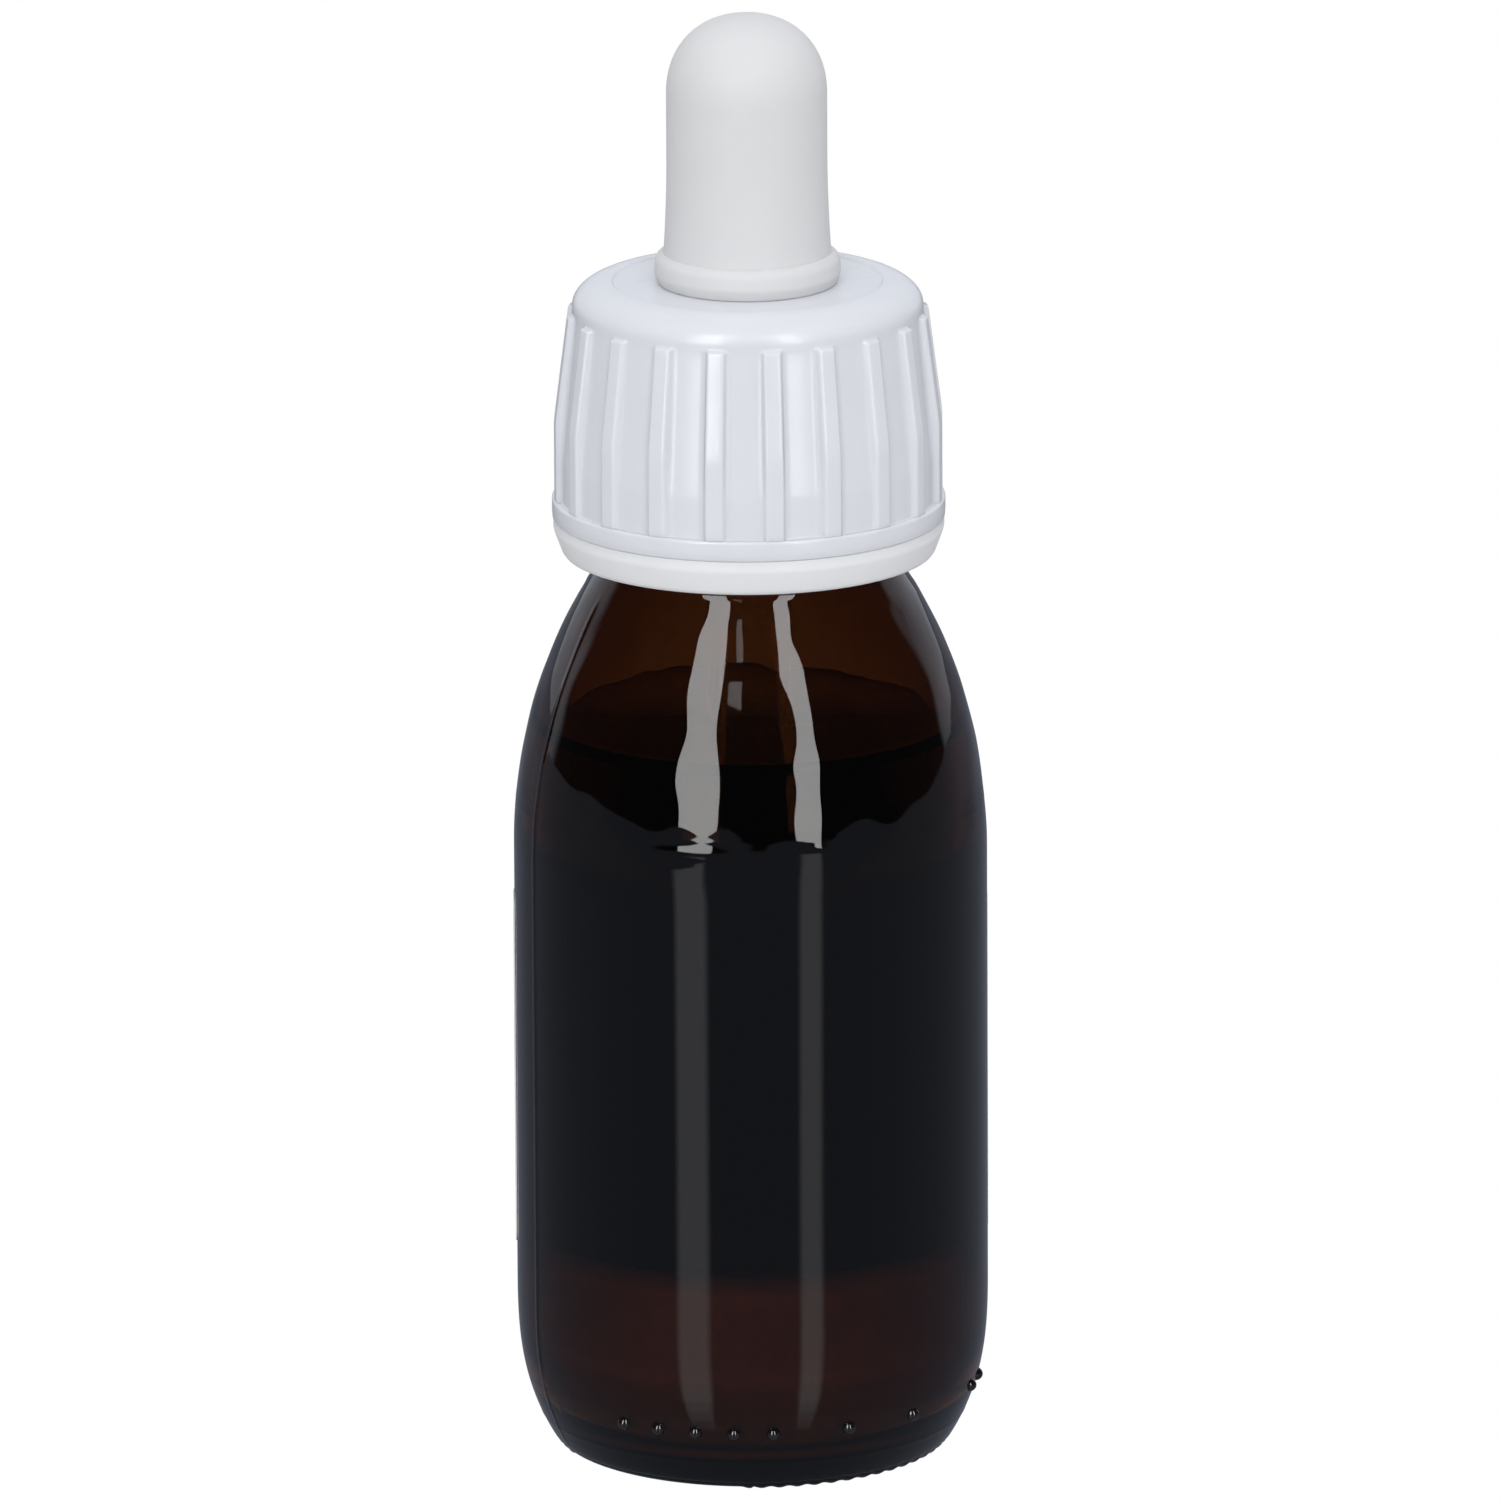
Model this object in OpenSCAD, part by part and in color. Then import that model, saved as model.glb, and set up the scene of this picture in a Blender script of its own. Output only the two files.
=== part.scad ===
// Amber medicine bottle with a screw-on glass dropper.
// A stepped profile turned about the Z axis makes every main piece.
// Millimetres, +Z up, origin on the axis in the plane that the bottle stands on.

/* [Bottle] */
// Radius of the straight body wall
body_r = 19.5; // [19:0.1:20]
// Height at which the body wall turns into the shoulder
shoulder_z = 50.9; // [48:0.1:51]
// Thickness of the glass in the body wall
glass_wall = 2.1; // [1.6:0.1:2.4]
// Thickness of the glass floor above the bearing plane at the wall
floor_t = 2.6; // [2.4:0.1:5]
// Height of the bottle's rim
rim_z = 95.3; // [95.1:0.1:95.3]
// Radius of the neck between its threads
neck_r = 12.3; // [12:0.1:12.4]
// Radius over the crest of the neck thread
neck_thread_r = 13.45; // [13.2:0.05:13.5]
// Radius of the bead that holds the tamper ring down
bead_r = 14.2; // [14:0.05:14.25]

/* [Threads] */
// Rise of the thread in one turn
pitch = 3.18; // [3:0.01:3.3]
// Number of turns of the neck thread
thread_turns = 1.4; // [1:0.1:1.5]
// Radius at the crest of the cap's thread, outside the neck thread's crest
cap_thread_r = 13.6; // [13.6:0.05:13.7]

/* [Screw cap] */
// Height of the cap's lower edge
cap_bottom_z = 78.9; // [78.8:0.1:79]
// Height of the cap's top face
cap_top_z = 98.6; // [98.5:0.1:98.8]
// Radius of the plain rim under the ribs
cap_rim_r = 16.15; // [16.1:0.05:16.4]
// Number of grip ribs
rib_count = 20; // [12:1:24]
// Width of a rib's outer face
rib_face_w = 1.3; // [1:0.1:1.5]
// Radius of the hole that the rubber bulb passes through
cap_hole_r = 5.9; // [5.85:0.05:6]

/* [Tamper ring] */
// Radius of the ring at its top edge
ring_top_r = 16.05; // [15.8:0.05:16.1]
// Radius of the ring at its bottom edge
ring_bottom_r = 15.4; // [15.2:0.05:15.5]
// Number of broken bridge stubs on the ring's top edge
bridge_count = 12; // [6:1:16]

/* [Rubber bulb] */
// Radius of the bulb's dome
dome_r = 6.58; // [6.5:0.01:6.7]
// Height of the bulb's top
bulb_top_z = 120.8; // [118:0.1:124]
// Radius of the collar that sits on the cap
collar_r = 7.65; // [7.4:0.05:7.9]
// Thickness of the rubber in the sleeve
rubber_wall = 1.7; // [1.4:0.1:1.8]

/* [Pipette] */
// Outer radius of the glass tube
tube_r = 3.5; // [3.4:0.05:3.5]
// Radius of the bore along the tube
tube_bore_r = 2.5; // [2.2:0.1:2.6]
// Height of the open tip
tip_z = 15; // [10:0.5:16]

/* [Rear label] */
// Height of the label's lower edge
label_bottom_z = 17; // [16.5:0.5:20]
// Height of the label's upper edge
label_top_z = 46.7; // [42:0.1:47]
// Angle that the label wraps round the back
label_arc = 181; // [120:1:200]

/* [Hidden] */
$fn = 96;
eps = 0.01;

// Bottle: heel, foot ring and punt
heel_h = 14.4;
heel_inset = 3.4;
heel_power = 2.9;
foot_out_r = 15.6;
foot_in_r = 12.6;
foot_round_r = 0.8;
foot_turn = 10;
foot_top_z = foot_round_r * (1 - sin(foot_turn));
punt_h = 1.3;
punt_sphere_r = (foot_in_r * foot_in_r + punt_h * punt_h) / (2 * punt_h);
punt_angle = asin(foot_in_r / punt_sphere_r);

// Bottle: shoulder arc and the fillet that turns it into the neck
shoulder_arc_r = 43.4;
shoulder_cx = body_r - shoulder_arc_r;
shoulder_end = 33;
fillet_r = 1;
fillet_cx = shoulder_cx + (shoulder_arc_r + fillet_r) * cos(shoulder_end);
fillet_cz = shoulder_z + (shoulder_arc_r + fillet_r) * sin(shoulder_end);
neck_root_r = fillet_cx - fillet_r;

// Bottle: bead and rim of the neck
bead_bottom_z = 78;
bead_top_z = 80;
bead_slope = 1.1;
rim_round_r = 0.8;

// Bottle: the inside
inner_r = body_r - glass_wall;
inner_arc_r = shoulder_arc_r - glass_wall;
inner_end = 33;
inner_fillet_r = 6;
inner_fillet_cx = shoulder_cx + (inner_arc_r + inner_fillet_r) * cos(inner_end);
inner_fillet_cz = shoulder_z + (inner_arc_r + inner_fillet_r) * sin(inner_end);
neck_bore_r = inner_fillet_cx - inner_fillet_r;
inner_heel_r = 3.8;
floor_rise = 0.8;

// Raised dots round the front of the heel
dot_z = 5.5;
dot_r = 0.5;
dot_angles = [-35, -25, -15, -5, 5, 25, 45, 75, 85];

// Threads: one ridge each, with sloped flanks
thread_root_w = 1.5;
thread_crest_w = 0.7;
thread_steps = 24;
neck_thread_z = 86.3;
cap_thread_z = neck_thread_z - pitch / 2;
cap_thread_turns = 1.2;
thread_sink = 0.3;
fade_turns = 0.15;

// Cap: panel between the ribs, rounded top edge and inside steps
ledge_z = 80.5;
panel_r = 15.55;
panel_straight_z = 84;
panel_top_r = 14.4;
panel_top_z = 95.7;
top_round_w = 3.2;
top_round_h = 2.1;
top_step_h = 0.15;
top_plate_t = 1.5;
cap_skirt_in_r = 14.5;
cap_bore_r = 13.95;
cap_bore_top_z = 92.5;
cap_head_in_r = 13.1;
rib_top_z = 96.1;
rib_break_z = 87.2;
rib_break_r = 16;
rib_top_r = 14.8;
rib_root_w = 1.9;
rib_root_r = 13.9;

// Tamper ring
ring_bottom_z = 75.85;
ring_top_z = 78.75;
ring_in_r = 14.5;
ring_lip_r = 13.65;
bridge_h = 0.1;
bridge_w = 1;

// Rubber bulb: collar, groove in the cap's hole, sealing flange and hollow
dome_cz = bulb_top_z - dome_r;
collar_top_z = 101.05;
collar_round_r = 1.05;
sleeve_foot_r = 6.85;
sleeve_flare_z = 110.8;
groove_r = 5.8;
flange_r = 12.2;
flange_gap = 0.05;
socket_r = tube_r + 0.05;
hollow_z = 101.6;

// Pipette: flared head inside the bulb and tapered tip
head_r = 4.3;
head_z = hollow_z + 0.1;
head_h = 1.6;
taper_z = tip_z + 14;
tip_r = 1.6;
tip_bore_r = 0.7;

// Rear label
label_t = 0.12;
label_middle = 185.5;

// Points on an arc about [x, y] from angle a to angle b, in n steps
function arc(x, y, r, a, b, n) =
    [for (i = [0 : n]) let (t = a + (b - a) * i / n) [x + r * cos(t), y + r * sin(t)]];

// Points on a quarter of an oval about [x, y], from its side up to its top, in n steps
function oval(x, y, w, h, n) =
    [for (i = [0 : n]) let (t = 90 * i / n) [x + w * cos(t), y + h * sin(t)]];

// Radius of the heel, which narrows gently towards the foot
function heel_radius(z) = body_r - heel_inset * pow(1 - z / heel_h, heel_power);

// Outline of the bottle's outer skin, from the axis under the floor up to the rim
function bottle_outside() = concat(
    arc(0, punt_h - punt_sphere_r, punt_sphere_r, 90, 90 - punt_angle, 6),
    arc(foot_out_r, foot_round_r, foot_round_r, -90, -foot_turn, 6),
    [for (i = [0 : 8]) let (z = foot_top_z + (heel_h - foot_top_z) * i / 8) [heel_radius(z), z]],
    arc(shoulder_cx, shoulder_z, shoulder_arc_r, 0, shoulder_end, 12),
    arc(fillet_cx, fillet_cz, fillet_r, 180 + shoulder_end - 7, 180, 4),
    [
        [neck_root_r, bead_bottom_z],
        [bead_r, bead_bottom_z + 0.3],
        [bead_r, bead_top_z - bead_slope],
        [neck_r, bead_top_z],
    ],
    arc(neck_r - rim_round_r, rim_z - rim_round_r, rim_round_r, 0, 90, 4)
);

// Outline of the bottle's inner skin, from the rim down to the axis over the floor
function bottle_inside() = concat(
    arc(neck_bore_r + rim_round_r, rim_z - rim_round_r, rim_round_r, 90, 180, 4),
    arc(inner_fillet_cx, inner_fillet_cz, inner_fillet_r, 180, 180 + inner_end, 4),
    arc(shoulder_cx, shoulder_z, inner_arc_r, inner_end - 3, 0, 10),
    arc(inner_r - inner_heel_r, floor_t + inner_heel_r, inner_heel_r, 0, -90, 6),
    [[0, floor_t + floor_rise]]
);

// A right-hand thread ridge. side is 1 for a ridge that points outwards and -1 for inwards.
module thread_ridge(root_r, crest_r, start_z, turns, side) {
    rings = ceil(turns * thread_steps);
    sections = [
        for (i = [0 : rings])
            let (
                turn = turns * i / rings,
                fade = min(1, min(turn, turns - turn) / fade_turns + 0.05),
                z = start_z + pitch * turn,
                foot = root_r - side * thread_sink,
                tip = root_r + (crest_r - root_r) * fade
            )
            for (p = [
                [foot, -thread_root_w / 2],
                [tip, -thread_crest_w / 2],
                [tip, thread_crest_w / 2],
                [foot, thread_root_w / 2],
            ])
                [p[0] * cos(360 * turn), p[0] * sin(360 * turn), z + p[1]]
    ];
    order = side > 0 ? [0, 1, 2, 3] : [3, 2, 1, 0];
    sides = [
        for (i = [0 : rings - 1], k = [0 : 3])
            let (a = order[k], b = order[(k + 1) % 4])
            each [
                [4 * i + a, 4 * i + b, 4 * i + 4 + b],
                [4 * i + a, 4 * i + 4 + b, 4 * i + 4 + a],
            ]
    ];
    first = [for (k = [3 : -1 : 0]) order[k]];
    last = [for (k = [0 : 3]) 4 * rings + order[k]];
    polyhedron(points = sections, faces = concat(sides, [first, last]), convexity = 6);
}

// Hollow amber bottle with its threaded neck
module glass_bottle() {
    color("saddlebrown") {
        union() {
            rotate_extrude() polygon(concat(bottle_outside(), bottle_inside()));
            thread_ridge(neck_r, neck_thread_r, neck_thread_z, thread_turns, 1);
            for (a = dot_angles)
                rotate([0, 0, a])
                    translate([0, -heel_radius(dot_z) + 0.2, dot_z])
                        sphere(r = dot_r, $fn = 32);
        }
    }
}

// Paper label wrapped round the back of the body
module rear_label() {
    color("whitesmoke")
        rotate([0, 0, label_middle - label_arc / 2 - 90])
            rotate_extrude(angle = label_arc)
                translate([body_r, label_bottom_z])
                    square([label_t, label_top_z - label_bottom_z]);
}

// Ring that stays on the neck when the cap's bridges break
module tamper_ring() {
    color("white")
        union() {
            rotate_extrude()
                polygon([
                    [ring_lip_r, ring_bottom_z + 1.1],
                    [ring_bottom_r - 0.9, ring_bottom_z],
                    [ring_bottom_r - 0.2, ring_bottom_z],
                    [ring_bottom_r, ring_bottom_z + 0.2],
                    [ring_top_r, ring_top_z - 0.9],
                    [ring_top_r, ring_top_z],
                    [ring_in_r, ring_top_z],
                    [ring_in_r, ring_bottom_z + 2.3],
                    [ring_lip_r, ring_bottom_z + 1.9],
                ]);
            for (i = [0 : bridge_count - 1])
                rotate([0, 0, 360 * i / bridge_count])
                    translate([ring_in_r + 0.3, -bridge_w / 2, ring_top_z - eps])
                        cube([0.6, bridge_w, bridge_h + eps]);
        }
}

// Envelope that cuts all the grip ribs to their outer shape
module rib_envelope() {
    rotate_extrude()
        polygon([
            [0, ledge_z],
            [rib_break_r, ledge_z],
            [rib_break_r, rib_break_z],
            [rib_top_r, rib_top_z],
            [0, rib_top_z],
        ]);
}

// One rib as a wedge-sided bar, standing the whole height of the cap
module rib_bar() {
    translate([0, 0, ledge_z])
        linear_extrude(height = rib_top_z - ledge_z)
            polygon([
                [rib_root_r, -rib_root_w / 2],
                [rib_break_r + 0.5, -rib_face_w / 2],
                [rib_break_r + 0.5, rib_face_w / 2],
                [rib_root_r, rib_root_w / 2],
            ]);
}

// Cap with its ribs, thread and the hole for the bulb
module screw_cap() {
    color("white")
        union() {
            rotate_extrude()
                polygon(concat(
                    [
                        [cap_skirt_in_r, cap_bottom_z],
                        [cap_rim_r - 0.2, cap_bottom_z],
                        [cap_rim_r, cap_bottom_z + 0.2],
                        [cap_rim_r, ledge_z - 0.2],
                        [cap_rim_r - 0.2, ledge_z],
                        [panel_r, ledge_z],
                        [panel_r, panel_straight_z],
                        [panel_top_r, panel_top_z],
                    ],
                    oval(panel_top_r - top_round_w, cap_top_z - top_round_h, top_round_w, top_round_h, 6),
                    [
                        [panel_top_r - top_round_w - 0.1, cap_top_z - top_step_h],
                        [cap_hole_r, cap_top_z - top_step_h],
                        [cap_hole_r, cap_top_z - top_plate_t],
                        [cap_head_in_r, cap_top_z - top_plate_t],
                        [cap_head_in_r, cap_top_z - top_plate_t - 1.6],
                        [cap_bore_r, cap_bore_top_z],
                        [cap_bore_r, ledge_z + 1.9],
                        [cap_skirt_in_r, ledge_z + 1.1],
                    ]
                ));
            intersection() {
                rib_envelope();
                difference() {
                    for (i = [0 : rib_count - 1])
                        rotate([0, 0, 360 * i / rib_count - 80.3])
                            rib_bar();
                    translate([0, 0, ledge_z - 1])
                        cylinder(h = rib_top_z, r = rib_root_r + 0.1);
                }
            }
            thread_ridge(cap_bore_r, cap_thread_r, cap_thread_z, cap_thread_turns, -1);
        }
}

// Soft bulb: dome, sleeve and collar above the cap, flange and tube socket below it
module rubber_bulb() {
    plate_z = cap_top_z - top_plate_t;
    seat_z = cap_top_z - top_step_h;
    hollow_r = dome_r - rubber_wall;
    color("gainsboro")
        rotate_extrude()
            polygon(concat(
                [
                    [socket_r, rim_z + flange_gap],
                    [flange_r, rim_z + flange_gap],
                    [flange_r, plate_z],
                    [groove_r, plate_z],
                    [groove_r, seat_z],
                    [collar_r - 0.4, seat_z],
                ],
                arc(collar_r - collar_round_r, collar_top_z - collar_round_r, collar_round_r, -15, 80, 6),
                [
                    [sleeve_foot_r, collar_top_z + 0.1],
                    [dome_r + 0.05, sleeve_flare_z - 3],
                    [dome_r, sleeve_flare_z],
                ],
                arc(0, dome_cz, dome_r, 0, 90, 12),
                arc(0, dome_cz, hollow_r, 90, 0, 10),
                [
                    [hollow_r, hollow_z],
                    [socket_r, hollow_z],
                ]
            ));
}

// Glass tube held in the bulb by its flared head, with a drawn tip
module glass_pipette() {
    color("lightcyan")
        rotate_extrude()
            polygon(concat(
                [
                    [tip_bore_r, tip_z],
                    [tip_r - 0.3, tip_z],
                    [tip_r, tip_z + 0.4],
                    [tip_r + 0.15, tip_z + 3],
                    [tube_r, taper_z],
                    [tube_r, head_z],
                ],
                arc(head_r - 0.7, head_z + 0.8, 0.7, -70, 90, 6),
                [
                    [tube_bore_r, head_z + head_h - 0.1],
                    [tube_bore_r, taper_z + 1],
                    [tip_bore_r, tip_z + 5],
                ]
            ));
}

glass_bottle();
rear_label();
tamper_ring();
screw_cap();
rubber_bulb();
glass_pipette();
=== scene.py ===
"""Looks of an amber medicine bottle with a screw-on glass dropper."""
import math

import bmesh
import bpy
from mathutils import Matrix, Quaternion, Vector, noise


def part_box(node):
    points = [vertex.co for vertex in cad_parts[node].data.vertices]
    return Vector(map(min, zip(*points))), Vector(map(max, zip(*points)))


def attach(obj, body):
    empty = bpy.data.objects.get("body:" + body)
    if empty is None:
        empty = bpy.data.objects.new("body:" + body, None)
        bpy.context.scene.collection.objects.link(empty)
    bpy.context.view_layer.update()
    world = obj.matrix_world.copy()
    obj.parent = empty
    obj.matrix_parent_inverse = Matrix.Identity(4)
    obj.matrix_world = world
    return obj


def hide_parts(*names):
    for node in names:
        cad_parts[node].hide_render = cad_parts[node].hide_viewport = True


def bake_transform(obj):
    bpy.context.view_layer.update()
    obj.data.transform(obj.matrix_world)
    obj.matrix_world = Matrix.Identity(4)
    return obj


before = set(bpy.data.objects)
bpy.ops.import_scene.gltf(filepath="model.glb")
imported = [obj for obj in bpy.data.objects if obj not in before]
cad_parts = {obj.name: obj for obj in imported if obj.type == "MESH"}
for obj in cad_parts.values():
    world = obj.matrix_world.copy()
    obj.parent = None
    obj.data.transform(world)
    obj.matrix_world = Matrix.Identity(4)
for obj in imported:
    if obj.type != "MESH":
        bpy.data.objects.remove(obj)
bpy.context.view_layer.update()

MM = 0.001  # all lengths in the making functions are millimetres


# ---------------------------------------------------------------- outlines

def arc(centre_r, centre_z, radius, start, end, steps):
    """Points (r, z) on an arc, its angles in degrees from +r towards +z."""
    points = []
    for i in range(steps + 1):
        t = math.radians(start + (end - start) * i / steps)
        points.append((centre_r + radius * math.cos(t), centre_z + radius * math.sin(t)))
    return points


def oval(centre_r, centre_z, width, height, steps):
    """Points (r, z) on a quarter of an oval, from its side up to its top."""
    turns = [math.radians(90 * i / steps) for i in range(steps + 1)]
    return [(centre_r + width * math.cos(t), centre_z + height * math.sin(t)) for t in turns]


def rounded(corners, steps):
    """An outline from corners (r, z, radius), each corner with a radius turned into an arc."""
    points = []
    count = len(corners)
    for i, (r, z, radius) in enumerate(corners):
        here = Vector((r, z))
        if radius <= 0:
            points.append((r, z))
            continue
        before = (Vector(corners[i - 1][:2]) - here).normalized()
        after = (Vector(corners[(i + 1) % count][:2]) - here).normalized()
        half = before.angle(after) / 2
        reach = radius / math.tan(half)
        a = here + before * reach
        b = here + after * reach
        centre = here + (before + after).normalized() * radius / math.sin(half)
        for k in range(steps + 1):
            t = k / steps
            mid = a.lerp(b, t) - centre
            points.append(tuple(centre + mid.normalized() * radius))
    return points


def spaced(points, longest, closed=False):
    """The same outline with extra points, so that no stretch is longer than longest(z)."""
    out = []
    pairs = list(zip(points, points[1:] + points[:1])) if closed else list(zip(points, points[1:]))
    for (r0, z0), (r1, z1) in pairs:
        length = math.hypot(r1 - r0, z1 - z0)
        parts = max(1, math.ceil(length / longest((z0 + z1) / 2)))
        for k in range(parts):
            t = k / parts
            out.append((r0 + (r1 - r0) * t, z0 + (z1 - z0) * t))
    if not closed:
        out.append(points[-1])
    return out


def window(value, low, high, soft):
    """1 between low and high, falling smoothly to 0 over soft outside them."""
    rise = min(1.0, max(0.0, (value - low + soft) / soft))
    fall = min(1.0, max(0.0, (high + soft - value) / soft))
    t = min(rise, fall)
    return t * t * (3 - 2 * t)


def turn_between(a, b):
    """Signed angle from b to a in degrees, between -180 and 180."""
    return (a - b + 180) % 360 - 180


# ---------------------------------------------------------------- meshes

def link(mesh, name):
    piece = bpy.data.objects.new(name, mesh)
    bpy.context.scene.collection.objects.link(piece)
    return piece


def place(angle, r, z):
    """A point at an angle in degrees from the front towards +X, in metres."""
    t = math.radians(angle)
    return Vector((r * math.sin(t), -r * math.cos(t), z)) * MM


def even_angles(count):
    return [360 * i / count for i in range(count)]


def lathe(name, outline, angles, shift=None, closed=True):
    """Turns an outline of (r, z) about the Z axis. shift(angle, r, z, index) gives a new (r, z).
    An open outline starts and ends on the axis."""
    bm = bmesh.new()
    rings = []
    for index, (r, z) in enumerate(outline):
        if r < 1e-6:
            rings.append([bm.verts.new((0, 0, z * MM))])
            continue
        ring = []
        for angle in angles:
            new_r, new_z = shift(angle, r, z, index) if shift else (r, z)
            ring.append(bm.verts.new(place(angle, new_r, new_z)))
        rings.append(ring)
    pairs = list(zip(rings, rings[1:]))
    if closed:
        pairs.append((rings[-1], rings[0]))
    count = len(angles)
    for low, high in pairs:
        for k in range(count):
            n = (k + 1) % count
            if len(low) == 1 and len(high) == 1:
                break
            if len(low) == 1:
                bm.faces.new((low[0], high[k], high[n]))
            elif len(high) == 1:
                bm.faces.new((low[k], high[0], low[n]))
            else:
                bm.faces.new((low[k], high[k], high[n], low[n]))
    bmesh.ops.recalc_face_normals(bm, faces=bm.faces)
    return finish_mesh(bm, name)


def finish_mesh(bm, name):
    mesh = bpy.data.meshes.new(name)
    for face in bm.faces:
        face.smooth = True
    bm.to_mesh(mesh)
    bm.free()
    return link(mesh, name)


def join_pieces(main, *others):
    """Merges other pieces' meshes into the first one's, and removes the others."""
    bm = bmesh.new()
    bm.from_mesh(main.data)
    for other in others:
        bm.from_mesh(other.data)
        bpy.data.objects.remove(other)
    bm.to_mesh(main.data)
    bm.free()
    return main


# ---------------------------------------------------------------- sizes from the frame

def span(node):
    """A node's outer radius, lowest and highest z, in millimetres."""
    low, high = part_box(node)
    return high.x / MM, low.z / MM, high.z / MM


BODY_R, _, RIM_Z = span("glass_bottle")
RING_R, RING_LOW, RING_HIGH = span("tamper_ring")
CAP_R, CAP_LOW, CAP_TOP = span("screw_cap")
FLANGE_R, FLANGE_LOW, BULB_TOP = span("rubber_bulb")
HEAD_R, TIP_Z, HEAD_TOP = span("glass_pipette")
_, LABEL_LOW, LABEL_HIGH = span("rear_label")
LABEL_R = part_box("rear_label")[1].y / MM

# Bottle
SHOULDER_Z = 50.9
SHOULDER_ARC = 43.4
SHOULDER_END = 33.0
SHOULDER_CENTRE = BODY_R - SHOULDER_ARC
NECK_FILLET = 1.0
NECK_R = 12.3
THREAD_R = 13.45
THREAD_PITCH = 3.18
THREAD_LOW = 86.3
THREAD_TURNS = 1.4
BEAD_R = 14.2
BEAD_LOW = 78.0
BEAD_HIGH = 80.0
RIM_ROUND = 0.8
WALL = 2.1
INNER_SHOULDER_END = 33
INNER_FILLET = 6.0
FLOOR_Z = 2.6
FLOOR_RISE = 0.8
INNER_HEEL_R = 3.8
HEEL_H = 14.4
HEEL_INSET = 3.4
HEEL_POWER = 2.9
FOOT_R = 15.6
FOOT_INNER_R = 12.6
FOOT_ROUND = 0.8
FOOT_TURN = 10.0
PUNT_H = 1.3
PUNT_STEPS = 8
KNURL_H = 0.15
KNURL_STEP = 5.4
KNURL_ARCS = [(-3.0, 78.0), (117.0, 198.0), (237.0, 291.0)]
DOT_Z = 5.5
DOT_R = 0.6
DOT_H = 0.45
DOT_SINK = 0.25
DOT_ANGLES = [-35, -25, -15, -5, 5, 25, 45, 75, 85]
SEAM_ANGLES = [-66, 114]
BASE_LINE_Z = 2.7
CREASE_Z = 55.0

# Liquid: its level, its gap to the glass, and its colours: near-black, with painted light by height (a
# glow low down) and painted light on its surface from front to back
LIQUID_Z = 61.3
LIQUID_GAP = 0.03
SYRUP_GLOW_TOP_Z = 18.1
SYRUP_PAINTED_GLOW = (0.80, 0.53, 0.41)
SYRUP_BLACK = (0.010, 0.008, 0.008)
# painted glow: the lowest part lighter brown, standing in for light from the floor coming through the
# foot
SYRUP_PAINTED_GLOW_BY_HEIGHT = [
    (5.4, (0.13, 0.075, 0.06)),
    (7.0, (0.24, 0.15, 0.12)),
    (8.7, (0.46, 0.31, 0.24)),
    (10.0, SYRUP_PAINTED_GLOW),
    (SYRUP_GLOW_TOP_Z - 1.0, SYRUP_PAINTED_GLOW),
    (SYRUP_GLOW_TOP_Z + 1.0, SYRUP_BLACK),
]
# painted light on the surface: dark at the front, brighter towards the back
SYRUP_SURFACE_PAINTED_LIGHT = [
    (-12, SYRUP_BLACK),
    (-5, (0.03, 0.02, 0.02)),
    (1, (0.09, 0.06, 0.05)),
    (7, (0.60, 0.46, 0.40)),
    (12, (1.0, 0.84, 0.72)),
]


def heel_r(z):
    """Radius of the outer skin below the straight body."""
    return BODY_R - HEEL_INSET * (1 - z / HEEL_H) ** HEEL_POWER


def bottle_outside():
    """Outline of the outer skin, from the axis under the floor to the rim's top."""
    punt_r = (FOOT_INNER_R ** 2 + PUNT_H ** 2) / (2 * PUNT_H)
    punt_turn = math.degrees(math.asin(FOOT_INNER_R / punt_r))
    foot_low = FOOT_ROUND * (1 - math.sin(math.radians(FOOT_TURN)))
    fillet_r = SHOULDER_CENTRE + (SHOULDER_ARC + NECK_FILLET) * math.cos(math.radians(SHOULDER_END))
    fillet_z = SHOULDER_Z + (SHOULDER_ARC + NECK_FILLET) * math.sin(math.radians(SHOULDER_END))
    root_r = fillet_r - NECK_FILLET
    points = arc(0, PUNT_H - punt_r, punt_r, 90, 90 - punt_turn, PUNT_STEPS)
    points[0] = (0.0, PUNT_H)
    points += [(FOOT_INNER_R + 0.3, 0.05), (FOOT_INNER_R + 0.5, 0.0), (FOOT_R - 0.6, 0.0)]
    points += arc(FOOT_R, FOOT_ROUND, FOOT_ROUND, -90, -FOOT_TURN, 10)
    heel_steps = 24
    for i in range(heel_steps + 1):
        z = foot_low + (HEEL_H - foot_low) * i / heel_steps
        points.append((heel_r(z), z))
    points += arc(SHOULDER_CENTRE, SHOULDER_Z, SHOULDER_ARC, 0, SHOULDER_END, 44)
    points += arc(fillet_r, fillet_z, NECK_FILLET, 180 + SHOULDER_END - 5, 180, 5)
    points += rounded([
        (root_r, BEAD_LOW, 0.5),
        (BEAD_R, BEAD_LOW + 0.25, 0.35),
        (BEAD_R, BEAD_HIGH - 1.1, 0.4),
        (NECK_R, BEAD_HIGH, 0.5),
        (NECK_R, RIM_Z, RIM_ROUND),
        (NECK_R - 2, RIM_Z, 0),
        (root_r - 3, BEAD_LOW, 0),
    ], 5)[:-2]
    return points


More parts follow.
